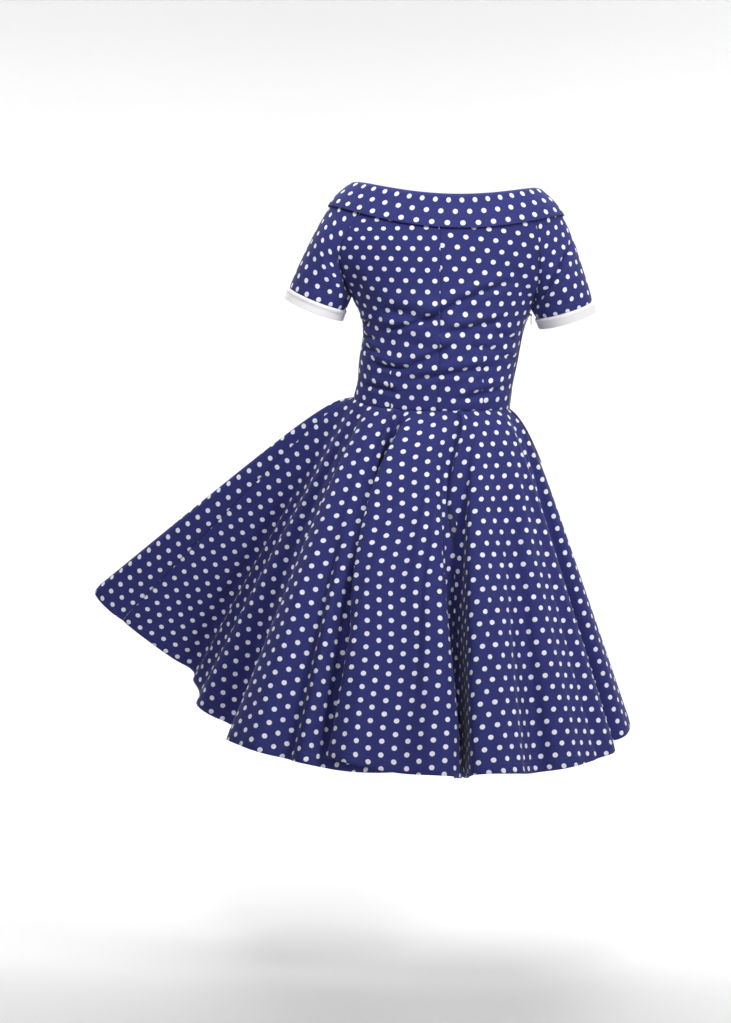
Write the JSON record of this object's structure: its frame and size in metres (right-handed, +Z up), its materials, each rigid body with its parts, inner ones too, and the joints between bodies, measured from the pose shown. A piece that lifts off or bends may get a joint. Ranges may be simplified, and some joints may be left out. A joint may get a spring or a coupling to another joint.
{
  "type": "a-line dress",
  "caption": "Knee-length dotted dress with a wide folded off-shoulder collar, short cuffed sleeves and a full-circle skirt held out at one side.",
  "frame": {"origin": "on the shoulder line, in the middle of the neck opening, where the shoulders hold the dress up", "axes": "+Z up; the dress's back faces -Y, its right side is at +X and its lifted left side at -X"},
  "size_m": [1.0005, 0.7035, 1.0423],
  "materials": {
    "bodice_back_left": "woven cotton",
    "bodice_back_right": "woven cotton",
    "bodice_front": "woven cotton",
    "collar": "woven cotton",
    "sleeve_left": "woven cotton",
    "sleeve_right": "woven cotton",
    "cuff_left": "woven cotton",
    "cuff_right": "woven cotton",
    "skirt_back": "woven cotton",
    "skirt_front": "woven cotton",
    "zip_slider": "dark",
    "zip_pull": "dark"
  },
  "bodies": {
    "dress": {"bodice_back_left": "bodice_back_left", "bodice_back_right": "bodice_back_right", "bodice_front": "bodice_front", "collar": "collar", "sleeve_left": "sleeve_left", "sleeve_right": "sleeve_right", "cuff_left": "cuff_left", "cuff_right": "cuff_right", "skirt_back": "skirt_back", "skirt_front": "skirt_front", "zip_slider": "zip_slider"},
    "pull": {"zip_pull": "zip_pull"}
  },
  "joints": [
    {"name": "pull_swing", "type": "hinge", "parent": "dress", "child": "pull", "pos_m": [0.16773, 0, -0.22694], "axis": [0, -1, 0], "range_deg": [-5, 35]}
  ]
}
